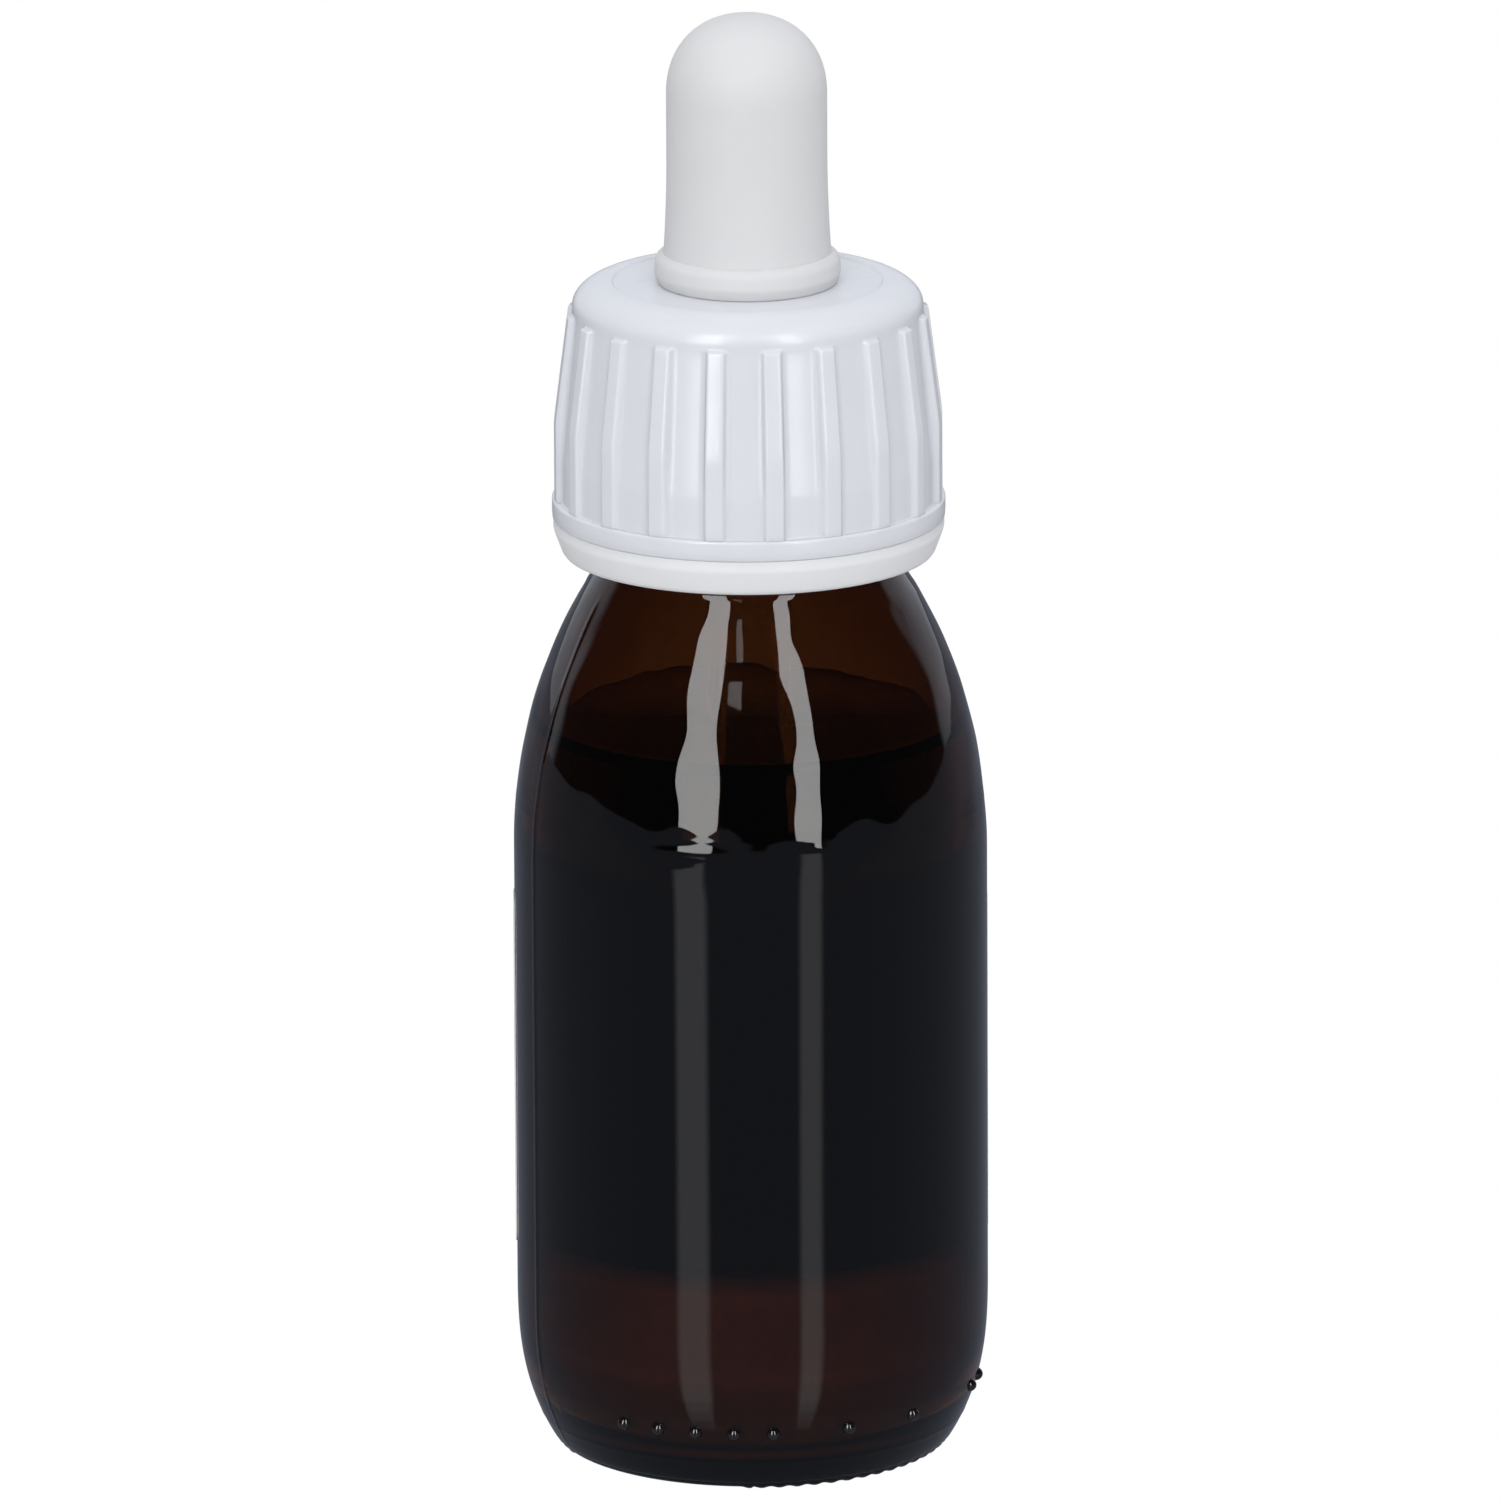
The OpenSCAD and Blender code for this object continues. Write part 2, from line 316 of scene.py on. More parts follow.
def bottle_inside(offset=0.0):
    """Outline of the inner skin from the rim's top down to the axis, moved into the glass by offset."""
    arc_r = SHOULDER_ARC - WALL + offset
    fillet = INNER_FILLET - offset
    turn = math.radians(INNER_SHOULDER_END)
    fillet_r = SHOULDER_CENTRE + (arc_r + fillet) * math.cos(turn)
    fillet_z = SHOULDER_Z + (arc_r + fillet) * math.sin(turn)
    wall_r = BODY_R - WALL + offset
    floor_z = FLOOR_Z - offset
    points = arc(fillet_r - fillet + RIM_ROUND, RIM_Z - RIM_ROUND, RIM_ROUND, 90, 180, 5)
    points += arc(fillet_r, fillet_z, fillet, 180, 180 + INNER_SHOULDER_END, 10)
    points += arc(SHOULDER_CENTRE, SHOULDER_Z, arc_r, INNER_SHOULDER_END - 1, 0, 28)
    points += arc(wall_r - INNER_HEEL_R, floor_z + INNER_HEEL_R, INNER_HEEL_R, 0, -90, 10)
    points += [(8.0, floor_z + 0.35), (4.0, floor_z + 0.7), (0.0, floor_z + FLOOR_RISE)]
    return points


def bottle_rows(z):
    """Longest stretch of outline allowed at a height, finer where there is detail."""
    if z < 3.4 or abs(z - CREASE_Z) < 1.5:
        return 0.15
    if z < HEEL_H:
        return 0.6
    if z < SHOULDER_Z:
        return 1.5
    if z < BEAD_LOW:
        return 0.6
    return 0.35


def thread_height(angle, z):
    """Height of the right-hand thread ridge over the neck, from 0 to 1."""
    turn = (angle % 360) / 360
    best = 0.0
    for whole in range(-1, 3):
        t = turn + whole
        if -0.05 <= t <= THREAD_TURNS + 0.05:
            away = abs(z - (THREAD_LOW + THREAD_PITCH * t))
            fade = min(1.0, max(0.0, min(t + 0.05, THREAD_TURNS + 0.05 - t) / 0.12))
            best = max(best, fade * window(away, -1, 0.35, 0.5))
    return best


def ripple(angle, z, scale, seed):
    """Smooth noise on the skin, between about -1 and 1, with features about scale millimetres wide."""
    p = place(angle, BODY_R, z) / MM / scale
    return noise.noise(p + Vector((seed, seed * 0.7, seed * 1.3)))


def glass_wave(angle, z):
    """Uneven outer skin of blown glass, strongest on the shoulder."""
    shoulder = window(z, 56, 74, 6)
    broad = 0.085 * ripple(angle, z, 9.0, 3.1) + 0.06 * ripple(angle, z, 3.4, 7.7)
    calm = 0.010 * ripple(angle, z * 0.4, 9.0, 1.9)
    crease = 0.012 * math.exp(-(((z - CREASE_Z) / 0.35) ** 2))
    return shoulder * broad + calm + crease


def on_skin(angle, r, z):
    """Change of radius of the outer skin: waves, mould seams and base line."""
    change = glass_wave(angle, z)
    for seam in SEAM_ANGLES:
        away = abs(turn_between(angle, seam)) * math.radians(r)
        change += 0.05 * math.exp(-((away / 0.3) ** 2)) * window(z, 2, BEAD_LOW - 2, 2)
    return change + 0.03 * math.exp(-(((z - BASE_LINE_Z) / 0.16) ** 2))


def knurl(angle):
    """How far the foot is lifted between the knurl's bumps."""
    for low, high in KNURL_ARCS:
        if low <= angle % 360 <= high or low <= angle % 360 - 360 <= high:
            return KNURL_H * (0.5 - 0.5 * math.cos(math.radians((angle - low) / KNURL_STEP * 360)))
    return KNURL_H


def bottle_angles():
    """Columns round the bottle, closer together at the mould seams."""
    angles = set(round(0.9 * i, 3) for i in range(400))
    for seam in SEAM_ANGLES:
        angles |= set(round((seam + 0.2 * k) % 360, 3) for k in range(-8, 9))
    return sorted(angles)


def inner_wave(angle, z):
    """Uneven inner skin of the body wall."""
    return window(z, 12, 70, 8) * 0.12 * ripple(angle, z, 12.0, 5.3)


def make_bottle():
    """Glass with its outer and inner skins. The punt's rows stay as drawn, and the rest are split."""
    outline = bottle_outside()
    outside = outline[:PUNT_STEPS] + spaced(outline[PUNT_STEPS:], bottle_rows)
    inside = spaced(bottle_inside(), lambda z: 1.6)
    last_outer = len(outside)

    def shape(angle, r, z, index):
        if index >= last_outer:
            return r + inner_wave(angle, z), z
        if z > BEAD_HIGH + 0.5 and r > NECK_R - 0.6:
            return r + (THREAD_R - NECK_R) * thread_height(angle, z), z
        new_z = z
        if r > FOOT_INNER_R - 0.5 and z < 1.0:
            new_z = z + knurl(angle) * (1 - z) * window(r, FOOT_INNER_R + 0.4, FOOT_R + 1.2, 0.8)
        if z > 1.0 and r > FOOT_INNER_R + 1:
            return r + on_skin(angle, r, z), new_z
        return r, new_z

    return lathe("bottle_glass", outside + inside, bottle_angles(), shape, closed=False)


def make_dots():
    """Row of glass beads pressed on the front of the heel."""
    bm = bmesh.new()
    slope = (heel_r(DOT_Z + 0.1) - heel_r(DOT_Z - 0.1)) / 0.2
    for angle in DOT_ANGLES:
        out = place(angle, 1, -slope).normalized()
        foot = place(angle, heel_r(DOT_Z), DOT_Z) - out * DOT_SINK * MM
        flat = out.to_track_quat("Z", "Y").to_matrix()
        made = bmesh.ops.create_uvsphere(bm, u_segments=32, v_segments=20, radius=1.0)
        for vert in made["verts"]:
            x, y, z = vert.co
            vert.co = foot + flat @ Vector((x * DOT_R, y * DOT_R, z * (DOT_H + DOT_SINK))) * MM
    return finish_mesh(bm, "mould_dots")


def make_liquid():
    """Body of liquid, a hair inside the glass, with a meniscus that climbs the wall."""
    outline = [(0.0, LIQUID_Z)]
    wall = spaced(bottle_inside(-LIQUID_GAP), lambda z: 1.6)
    inner = [p for p in wall if p[1] < LIQUID_Z]
    edge_r = inner[0][0]
    for i in range(12):
        away = 3.0 * (1 - i / 11) ** 2
        outline.append((edge_r - away, LIQUID_Z + 0.5 * math.exp(-away / 0.7)))
    outline += [p for p in inner if p[1] < LIQUID_Z + 0.1]

    def shape(angle, r, z, index):
        near_wall = window(r, edge_r - 1.0, edge_r + 1.0, 1.0)
        return r + near_wall * inner_wave(angle, z), z

    return lathe("liquid_fill", outline, bottle_angles(), shape, closed=False)


# Pipette
TUBE_R = 3.5
TUBE_BORE_R = 2.5
TIP_R = 1.6
TIP_BORE_R = 0.7
TAPER_H = 14


def make_pipette():
    """Glass tube with a flared head and a drawn, fire-polished tip."""
    corners = [
        (TIP_BORE_R, TIP_Z, 0.3),
        (TIP_R, TIP_Z, 0.35),
        (TIP_R + 0.15, TIP_Z + 3, 4),
        (TUBE_R, TIP_Z + TAPER_H, 8),
        (TUBE_R, HEAD_TOP - 1.9, 0.5),
        (HEAD_R, HEAD_TOP - 1.2, 0.5),
        (HEAD_R, HEAD_TOP, 0.55),
        (TUBE_BORE_R, HEAD_TOP, 0.5),
        (TUBE_BORE_R, TIP_Z + TAPER_H + 1, 6),
        (TIP_BORE_R, TIP_Z + 5, 3),
    ]
    outline = spaced(rounded(corners, 6), lambda z: 2.0, closed=True)
    return lathe("pipette_glass", outline, even_angles(72))


# Cap
LEDGE_Z = 80.5
PANEL_R = 15.55
PANEL_TOP_R = 14.4
PANEL_STRAIGHT_Z = 84.0
PANEL_TOP_Z = 95.7
TOP_ROUND_W = 3.2
TOP_ROUND_H = 2.1
TOP_STEP = 0.15
RIB_COUNT = 20
RIB_STEP = 360 / RIB_COUNT
RIB_FIRST = 7.7
RIB_TOP_Z = 96.1
RIB_BREAK_Z = 87.2
RIB_R = 16.0
RIB_TOP_R = 14.85
RIB_ACROSS = [0, 0.45, 0.6, 0.68, 0.8, 0.9, 1.0, 1.5, 2.0]
CAP_SKIRT_R = 14.5
CAP_BORE_R = 13.95
CAP_BORE_TOP_Z = 92.5
CAP_DROP = 0.05
CAP_THREAD_R = 13.6
CAP_HEAD_R = 13.1
HOLE_R = 5.9
PLATE_T = 1.5

# Ring
BRIDGE_H = 0.1
BRIDGE_COUNT = 12
RING_LIP_R = 13.65
RING_RISE = 0.06

# Bulb
SLEEVE_R = 6.58
SLEEVE_FOOT_R = 6.83
DOME_H = 6.6
DOME_POWER = 2.2
RUBBER_T = 1.7
SOCKET_R = TUBE_R + 0.05
GROOVE_R = 5.8
COLLAR_R = 7.65
COLLAR_TOP_Z = 101.05
COLLAR_ROUND = 1.05

# Label
LABEL_START = -85.0
LABEL_ARC = 181.0
LABEL_CORNER = 1.2


def rib_profile(across):
    """Height of a rib, 0 to 1, at a distance in millimetres from its middle."""
    t = min(1.0, max(0.0, (0.98 - abs(across)) / 0.36))
    return t * t * (3 - 2 * t)


def panel_radius(z):
    """Radius of the cap's side between its ribs."""
    t = min(1.0, max(0.0, (z - PANEL_STRAIGHT_Z) / (PANEL_TOP_Z - PANEL_STRAIGHT_Z)))
    return PANEL_R + (PANEL_TOP_R - PANEL_R) * t


def rib_radius(z):
    """Radius of the ribs' crests."""
    t = min(1.0, max(0.0, (z - RIB_BREAK_Z) / (RIB_TOP_Z - RIB_BREAK_Z)))
    return RIB_R + (RIB_TOP_R - RIB_R) * t


def cap_angles():
    """Columns round the cap, lined up with the edges of every rib."""
    angles = []
    for i in range(RIB_COUNT):
        middle = RIB_FIRST + RIB_STEP * i
        for across in RIB_ACROSS:
            step = math.degrees(across / PANEL_R)
            angles += [middle + step] if across == 0 else [middle - step, middle + step]
        angles.append(middle + RIB_STEP / 2)
    return sorted(a % 360 for a in angles)


def make_cap():
    """Ribbed cap, hollow, with its thread and the hole for the bulb."""
    corner_r = PANEL_TOP_R - TOP_ROUND_W
    outline = rounded([
        (CAP_SKIRT_R, CAP_LOW - CAP_DROP, 0),
        (CAP_R - 0.04, CAP_LOW - CAP_DROP, 0.06),
        (CAP_R, CAP_LOW + 0.5, 0.5),
        (CAP_R, LEDGE_Z, 0.22),
        (PANEL_R, LEDGE_Z, 0.15),
        (PANEL_R, PANEL_STRAIGHT_Z, 5.0),
        (PANEL_TOP_R, PANEL_TOP_Z, 0),
    ], 6)
    outline += oval(corner_r, CAP_TOP - TOP_ROUND_H, TOP_ROUND_W, TOP_ROUND_H, 14)
    outline += rounded([
        (corner_r - 0.05, CAP_TOP, 0),
        (corner_r - 0.2, CAP_TOP - TOP_STEP, 0.08),
        (HOLE_R, CAP_TOP - TOP_STEP, 0.2),
        (HOLE_R, CAP_TOP - PLATE_T, 0.1),
        (CAP_HEAD_R, CAP_TOP - PLATE_T, 0.5),
        (CAP_HEAD_R, CAP_TOP - PLATE_T - 1.6, 0.5),
        (CAP_BORE_R, CAP_BORE_TOP_Z, 2.0),
        (CAP_BORE_R, LEDGE_Z + 1.9, 0.5),
        (CAP_SKIRT_R, LEDGE_Z + 1.1, 0),
    ], 6)

    def rows(z):
        if abs(z - LEDGE_Z) < 0.6 or abs(z - RIB_TOP_Z) < 0.6:
            return 0.12
        return 0.45 if z > PANEL_TOP_Z else 0.7

    def shape(angle, r, z, index):
        if r < CAP_BORE_R + 0.05 and LEDGE_Z + 2 < z < CAP_BORE_TOP_Z - 0.5:
            ridge = thread_height(angle, z + THREAD_PITCH / 2)
            return r - (CAP_BORE_R - CAP_THREAD_R) * ridge, z
        if r < panel_radius(z) - 0.6 or z < LEDGE_Z + 0.01:
            return r, z
        nearest = RIB_FIRST + RIB_STEP * round((angle - RIB_FIRST) / RIB_STEP)
        across = math.radians(turn_between(angle, nearest)) * PANEL_R
        top_fade = min(1.0, max(0.0, (RIB_TOP_Z - z) / 0.2))
        rise = max(0.0, rib_radius(z) - r) * rib_profile(across)
        return r + rise * top_fade * top_fade * (3 - 2 * top_fade), z

    return lathe("cap_shell", spaced(outline, rows, closed=True), cap_angles(), shape)


def make_ring():
    """Tamper ring with its inner lip, and the stubs left by the broken bridges."""
    top = RING_HIGH - BRIDGE_H + RING_RISE
    corners = [
        (RING_LIP_R, RING_LOW + 1.1, 0.2),
        (14.4, RING_LOW, 0.2),
        (15.2, RING_LOW, 0.12),
        (15.38, RING_LOW + 0.25, 0.2),
        (RING_R, top - 0.9, 1.2),
        (RING_R, top, 0.06),
        (CAP_SKIRT_R, top, 0.06),
        (CAP_SKIRT_R, RING_LOW + 2.3, 0.2),
        (RING_LIP_R, RING_LOW + 1.9, 0.2),
    ]
    outline = spaced(rounded(corners, 5), lambda z: 0.5, closed=True)
    ring = lathe("ring_band", outline, even_angles(240))
    stubs = [make_stub(angle) for angle in even_angles(BRIDGE_COUNT)]
    return join_pieces(ring, *stubs)


def make_stub(angle):
    """One broken bridge: a little tapered post with rounded edges."""
    bm = bmesh.new()
    made = bmesh.ops.create_cube(bm, size=1.0)
    for vert in made["verts"]:
        taper = 0.8 if vert.co.z > 0 else 1.0
        vert.co = Vector((vert.co.x * taper, vert.co.y * 0.6 * taper, vert.co.z * 0.4))
    bmesh.ops.bevel(bm, geom=bm.edges[:], offset=0.07, segments=3, profile=0.5, affect="EDGES")
    centre = place(angle, CAP_SKIRT_R + 0.6, RING_HIGH - 0.22)
    turn = math.radians(angle)
    for vert in bm.verts:
        x, y, z = vert.co
        vert.co = centre + Vector((x * math.cos(turn) - y * math.sin(turn),
                                   x * math.sin(turn) + y * math.cos(turn), z)) * MM
    return finish_mesh(bm, "stub")


def dome(radius, height, centre_z, steps):
    """A quarter of a fuller-than-round dome, from its base to the axis."""
    points = []
    for i in range(steps + 1):
        t = math.radians(90 * i / steps)
        r = radius * max(0.0, math.cos(t)) ** (2 / DOME_POWER)
        z = centre_z + height * math.sin(t) ** (2 / DOME_POWER)
        points.append((r if i < steps else 0.0, z))
    return points


def make_bulb():
    """Sleeve and dome of the bulb, hollow, standing in its collar."""
    centre_z = BULB_TOP - DOME_H
    inner_r = SLEEVE_R - RUBBER_T
    foot_z = COLLAR_TOP_Z - 1.2
    outline = dome(inner_r, DOME_H - RUBBER_T, centre_z, 20)[::-1]
    outline += [(inner_r, HEAD_TOP + 0.6), (inner_r, foot_z + 0.2), (inner_r + 0.2, foot_z)]
    outline += [(SLEEVE_FOOT_R - 0.05, foot_z), (SLEEVE_FOOT_R + 0.15, COLLAR_TOP_Z - 0.25)]
    outline += [(SLEEVE_FOOT_R + 0.04, COLLAR_TOP_Z + 0.12), (SLEEVE_FOOT_R, COLLAR_TOP_Z + 0.5)]
    for i in range(1, 9):
        t = i / 8
        ease = 1 - (1 - t) ** 2
        outline.append((SLEEVE_FOOT_R + (SLEEVE_R - SLEEVE_FOOT_R) * ease, COLLAR_TOP_Z + 0.5 + 8.0 * t))
    outline += dome(SLEEVE_R, DOME_H, centre_z, 28)

    def shape(angle, r, z, index):
        return r + 0.012 * ripple(angle, z, 7.0, 2.2) * min(1.0, r / 3), z

    return lathe("bulb_teat", spaced(outline, lambda z: 0.7), even_angles(144), shape, closed=False)


def make_collar():
    """Collar on the cap, groove in its hole, sealing flange and tube socket."""
    plate = CAP_TOP - PLATE_T
    seat = CAP_TOP - TOP_STEP
    corners = [
        (SOCKET_R, FLANGE_LOW, 0.3),
        (FLANGE_R, FLANGE_LOW, 0.4),
        (FLANGE_R, plate, 0.4),
        (GROOVE_R, plate, 0.1),
        (GROOVE_R, seat, 0.05),
        (COLLAR_R - 0.35, seat, 0.25),
        (COLLAR_R, seat + 0.9, 0.9),
        (COLLAR_R - 0.12, COLLAR_TOP_Z, COLLAR_ROUND - 0.15),
        (SLEEVE_FOOT_R - 0.3, COLLAR_TOP_Z + 0.02, 0.05),
        (SLEEVE_FOOT_R - 0.35, COLLAR_TOP_Z - 1.3, 0.05),
        (4.9, COLLAR_TOP_Z - 1.3, 0.1),
        (4.9, HEAD_TOP - 1.75, 0.1),
        (SOCKET_R, HEAD_TOP - 1.75, 0.2),
    ]
    outline = spaced(rounded(corners, 5), lambda z: 0.8, closed=True)
    return lathe("bulb_collar", outline, even_angles(144))


def make_label():
    """Paper label with rounded corners, bent round the back of the body."""
    thickness = LABEL_R - BODY_R
    length = math.radians(LABEL_ARC) * BODY_R
    columns = []
    stops = [0, 0.05, 0.12, 0.25, 0.45, 0.7, 1.0, LABEL_CORNER]
    straight = length - 2 * LABEL_CORNER
    across = stops + [LABEL_CORNER + straight * i / 90 for i in range(1, 90)]
    across += [length - s for s in stops[::-1]]
    rows = 24
    bm = bmesh.new()
    for s in across:
        near = min(s, length - s)
        inward = LABEL_CORNER - min(near, LABEL_CORNER)
        cut = LABEL_CORNER - math.sqrt(max(0.0, LABEL_CORNER ** 2 - inward ** 2))
        angle = LABEL_START - math.degrees(s / BODY_R)
        column = []
        for k in range(rows + 1):
            z = LABEL_LOW + cut + (LABEL_HIGH - LABEL_LOW - 2 * cut) * k / rows
            lift = 0.015 * max(0.0, ripple(angle, z, 6.0, 4.4))
            outer_r = BODY_R + thickness - 0.02 + lift
            column.append((place(angle, BODY_R + 0.015, z), place(angle, outer_r, z)))
        columns.append([(bm.verts.new(a), bm.verts.new(b)) for a, b in column])
    for one, two in zip(columns, columns[1:]):
        for k in range(rows):
            for side in (0, 1):
                bm.faces.new((one[k][side], one[k + 1][side], two[k + 1][side], two[k][side]))
        for k in (0, rows):
            bm.faces.new((one[k][0], one[k][1], two[k][1], two[k][0]))
    for column in (columns[0], columns[-1]):
        for k in range(rows):
            bm.faces.new((column[k][0], column[k][1], column[k + 1][1], column[k + 1][0]))
    bmesh.ops.recalc_face_normals(bm, faces=bm.faces)
    return finish_mesh(bm, "label_sheet")


# ---------------------------------------------------------------- materials

def map_range(tree, value, start, end, low=0.0, high=1.0):
    """A value that runs from low to high as another one runs from start to end."""
    node = tree.nodes.new("ShaderNodeMapRange")
    node.inputs["From Min"].default_value = start
    node.inputs["From Max"].default_value = end
    node.inputs["To Min"].default_value = low
    node.inputs["To Max"].default_value = high
    tree.links.new(value, node.inputs["Value"])
    return node.outputs["Result"]


def mix_colours(tree, factor, first, second, blend="MIX"):
    """The first colour where factor is 0 and the second where it is 1. Each is a tuple or an output."""
    mix = tree.nodes.new("ShaderNodeMix")
    mix.data_type = "RGBA"
    mix.blend_type = blend
    for name, value in (("Factor", factor), ("A", first), ("B", second)):
        if isinstance(value, tuple):
            mix.inputs[name].default_value = (*value, 1)
        elif isinstance(value, float):
            mix.inputs[name].default_value = value
        else:
            tree.links.new(value, mix.inputs[name])
    return mix.outputs["Result"]


def colour_ramp(tree, value, colours):
    """Colours placed at positions from 0 to 1 along a value."""
    node = tree.nodes.new("ShaderNodeValToRGB")
    stops = node.color_ramp.elements
    while len(stops) < len(colours):
        stops.new(1.0)
    for stop, (position, colour) in zip(stops, colours):
        stop.position = position
        stop.color = (*colour, 1)
    tree.links.new(value, node.inputs["Fac"])
    return node.outputs["Color"]


class Nodes:
    """A material and short calls that add nodes to it."""

    def __init__(self, name):
        self.material = bpy.data.materials.new(name)
        self.material.use_nodes = True
        self.tree = self.material.node_tree
        self.shader = self.tree.nodes["Principled BSDF"]
        self.output = self.tree.nodes["Material Output"]
        self.place = self.add("ShaderNodeTexCoord").outputs["Object"]

    def add(self, kind, **settings):
        node = self.tree.nodes.new(kind)
        for key, value in settings.items():
            setattr(node, key, value)
        return node

    def wire(self, a, b):
        self.tree.links.new(a, b)

    def noise(self, size_mm, detail=3.0, stretch=(1, 1, 1)):
        """Noise whose features are about size_mm wide."""
        scale = self.add("ShaderNodeMapping")
        scale.inputs["Scale"].default_value = stretch
        self.wire(self.place, scale.inputs["Vector"])
        node = self.add("ShaderNodeTexNoise")
        node.inputs["Scale"].default_value = 1 / (size_mm * MM)
        node.inputs["Detail"].default_value = detail
        self.wire(scale.outputs["Vector"], node.inputs["Vector"])
        return node.outputs["Fac"]

    def between(self, factor, low, high):
        """A value that runs from low to high over the middle of a noise."""
        return map_range(self.tree, factor, 0.3, 0.7, low, high)

    def mix(self, factor, first, second, blend="MIX"):
        return mix_colours(self.tree, factor, first, second, blend)

    def ramp(self, value, low_mm, high_mm, colours):
        """Colours placed at millimetres between low_mm and high_mm along a value in metres."""
        scaled = map_range(self.tree, value, low_mm * MM, high_mm * MM)
        span_mm = high_mm - low_mm
        placed = [((place_mm - low_mm) / span_mm, colour) for place_mm, colour in colours]
        return colour_ramp(self.tree, scaled, placed)

    def bump(self, height, depth_mm):
        node = self.add("ShaderNodeBump")
        node.inputs["Distance"].default_value = depth_mm * MM
        self.wire(height, node.inputs["Height"])
        return node.outputs["Normal"]

    def set(self, **values):
        for key, value in values.items():
            self.shader.inputs[key.replace("_", " ")].default_value = value

    def feed(self, **outputs):
        for key, output in outputs.items():
            self.wire(output, self.shader.inputs[key.replace("_", " ")])

    def absorb(self, colour, per_metre):
        node = self.add("ShaderNodeVolumeAbsorption")
        node.inputs["Color"].default_value = (*colour, 1)
        node.inputs["Density"].default_value = per_metre
        self.wire(node.outputs["Volume"], self.output.inputs["Volume"])


def amber_glass():
    n = Nodes("amber_glass")
    n.set(Transmission_Weight=1.0, IOR=1.52)
    n.feed(Base_Color=n.mix(n.noise(9), (0.97, 0.95, 0.92), (1.0, 0.99, 0.98)))
    n.feed(Roughness=n.between(n.noise(2.5, 4), 0.0, 0.025))
    n.absorb((0.50, 0.30, 0.04), 1500)
    return n.material


def syrup():
    """Near-black syrup. Its lowest part and the back of its surface are painted lighter, as light coming
    through the glass would make them."""
    n = Nodes("syrup")
    n.set(IOR=1.12)
    split = n.add("ShaderNodeSeparateXYZ")
    n.wire(n.place, split.inputs["Vector"])
    # body is the painted glow by height, top is the painted light on the surface towards the back
    body = n.ramp(split.outputs["Z"], 0, 20, SYRUP_PAINTED_GLOW_BY_HEIGHT)
    top = n.ramp(split.outputs["Y"], -20, 20, SYRUP_SURFACE_PAINTED_LIGHT)
    is_top = [(LIQUID_Z - 0.7, (0, 0, 0)), (LIQUID_Z - 0.4, (1, 1, 1))]
    surface = n.ramp(split.outputs["Z"], LIQUID_Z - 2, LIQUID_Z, is_top)
    both = n.mix(surface, body, top)
    mottle = n.mix(n.noise(6), (0.94, 0.93, 0.93), (1.0, 1.0, 1.0))
    n.feed(Base_Color=n.mix(1.0, both, mottle, "MULTIPLY"))
    n.feed(Roughness=n.between(n.noise(4), 0.03, 0.06))
    return n.material


def bead_painted_dark():
    """The heel's beads, painted near-black: painted shade standing in for the dark that the glass bumps
    show by bending light away from the lit syrup.
    """
    n = Nodes("bead_painted_dark")
    n.set(IOR=1.8)
    n.feed(Base_Color=n.mix(n.noise(0.8), (0.004, 0.003, 0.002), (0.008, 0.005, 0.003)))
    n.feed(Roughness=n.between(n.noise(0.5), 0.0, 0.01))
    return n.material


def clear_glass():
    n = Nodes("clear_glass")
    n.set(Transmission_Weight=1.0, IOR=1.3)
    n.feed(Base_Color=n.mix(n.noise(5), (0.96, 0.985, 0.98), (1.0, 1.0, 1.0)))
    n.feed(Roughness=n.between(n.noise(1.5, 4), 0.0, 0.02))
    return n.material


def paper():
    n = Nodes("label_paper")
    fibres = n.noise(0.25, 6, (1, 1, 3))
    n.feed(Base_Color=n.mix(fibres, (0.84, 0.84, 0.85), (0.91, 0.91, 0.92)))
    n.feed(Roughness=n.between(n.noise(1.2, 3), 0.5, 0.62))
    n.feed(Normal=n.bump(fibres, 0.006))
    return n.material


def cap_plastic():
    n = Nodes("cap_plastic")
    n.set(Subsurface_Weight=0.3, Subsurface_Radius=(1.2, 1.1, 1.0), Subsurface_Scale=0.0012, IOR=1.49)
    n.feed(Base_Color=n.mix(n.noise(5, 3), (0.76, 0.775, 0.81), (0.79, 0.805, 0.84)))
    n.feed(Roughness=n.between(n.noise(1.6, 3), 0.20, 0.27))
    n.feed(Normal=n.bump(n.noise(2.6, 2), 0.008))
    return n.material


def ring_plastic():
    n = Nodes("ring_plastic")
    n.set(Subsurface_Weight=0.45, Subsurface_Radius=(1.4, 1.3, 1.2), Subsurface_Scale=0.0015, IOR=1.49)
    n.feed(Base_Color=n.mix(n.noise(2.5, 4), (0.95, 0.95, 0.96), (0.98, 0.98, 0.98)))
    n.feed(Roughness=n.between(n.noise(0.8, 4), 0.42, 0.56))
    n.feed(Normal=n.bump(n.noise(0.4, 4), 0.012))
    return n.material


def rubber():
    n = Nodes("white_rubber")
    n.set(Subsurface_Weight=0.15, Subsurface_Radius=(1.3, 1.2, 1.1), Subsurface_Scale=0.001, IOR=1.45)
    n.set(Sheen_Weight=0.08, Sheen_Roughness=0.5)
    n.feed(Base_Color=n.mix(n.noise(3.5, 4), (0.72, 0.72, 0.72), (0.75, 0.75, 0.75)))
    n.feed(Roughness=n.between(n.noise(0.9, 4), 0.55, 0.68))
    n.feed(Normal=n.bump(n.noise(0.18, 4), 0.008))
    return n.material


# ---------------------------------------------------------------- assembly

def dress(piece, material, body, slot, *nodes):
    piece.data.materials.clear()
    piece.data.materials.append(material)
    if nodes:
        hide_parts(*nodes)
    if body:
        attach(piece, body)
    return piece


